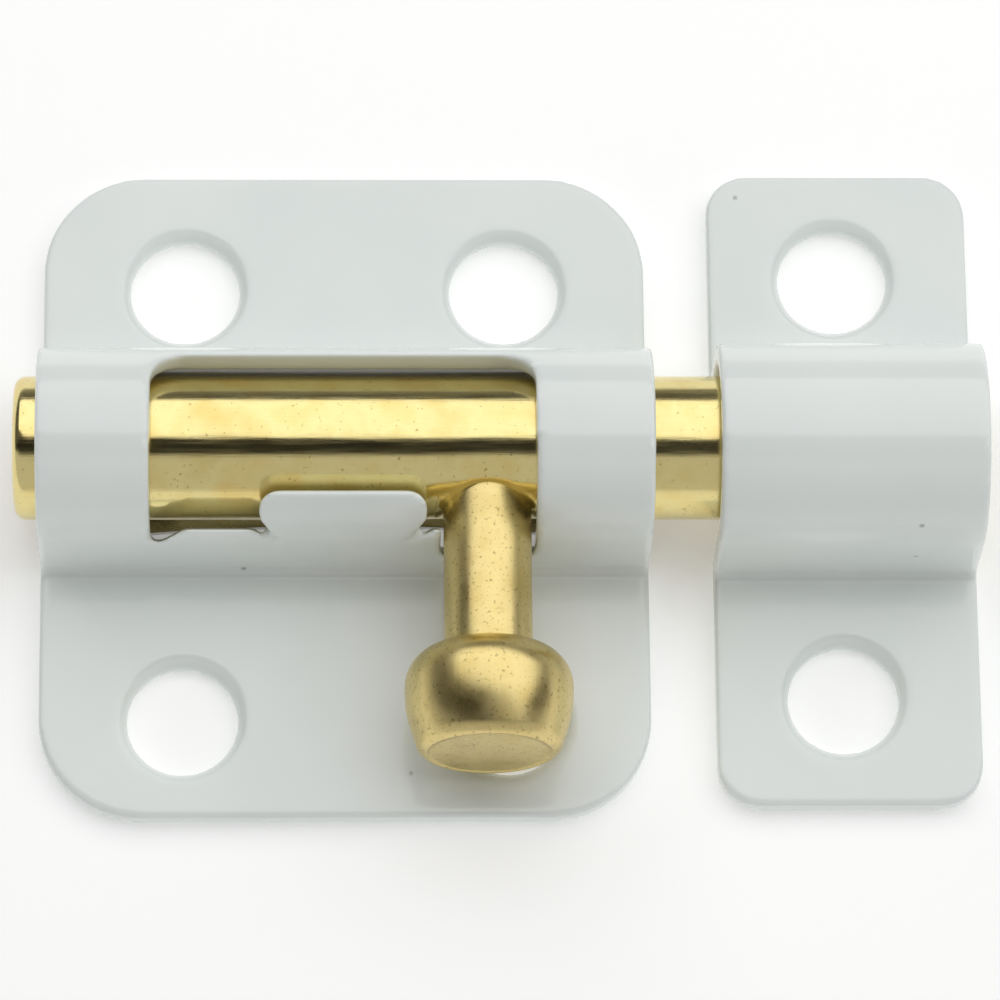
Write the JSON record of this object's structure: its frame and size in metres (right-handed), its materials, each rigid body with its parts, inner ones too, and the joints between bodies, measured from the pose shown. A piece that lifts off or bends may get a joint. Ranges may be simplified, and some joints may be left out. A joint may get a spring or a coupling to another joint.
{
  "type": "toggle bolt latch",
  "caption": "Small surface latch: a round bolt slides and turns in a stamped case, its side knob drops into a notch, and a separate stamped keeper takes its end.",
  "frame": {"origin": "centre of the case's four screw holes, in the plane of the case's back face", "axes": "+X along the bolt towards the keeper, +Y across the bolt away from the knob's rest side, +Z out of the door"},
  "size_m": [0.041, 0.0292, 0.0089],
  "materials": {
    "white_coat": "gloss",
    "drawn_brass": "polished",
    "turned_brass": "satin",
    "spring_steel": "bright"
  },
  "bodies": {
    "case": {"case": "white_coat", "friction_spring": "spring_steel"},
    "bolt": {"bolt_rod": "drawn_brass", "knob": "turned_brass"},
    "keeper": {"keeper": "white_coat"}
  },
  "joints": [
    {"name": "bolt_turn", "type": "hinge", "parent": "case", "child": "bolt", "pos_m": [0, 0.00115, 0.0045], "axis": [-1, 0, 0], "range_deg": [0, 108]},
    {"name": "keeper_slide", "type": "slide", "parent": "case", "child": "keeper", "axis": [1, 0, 0], "range_m": [-0.0022, 0.012]}
  ]
}
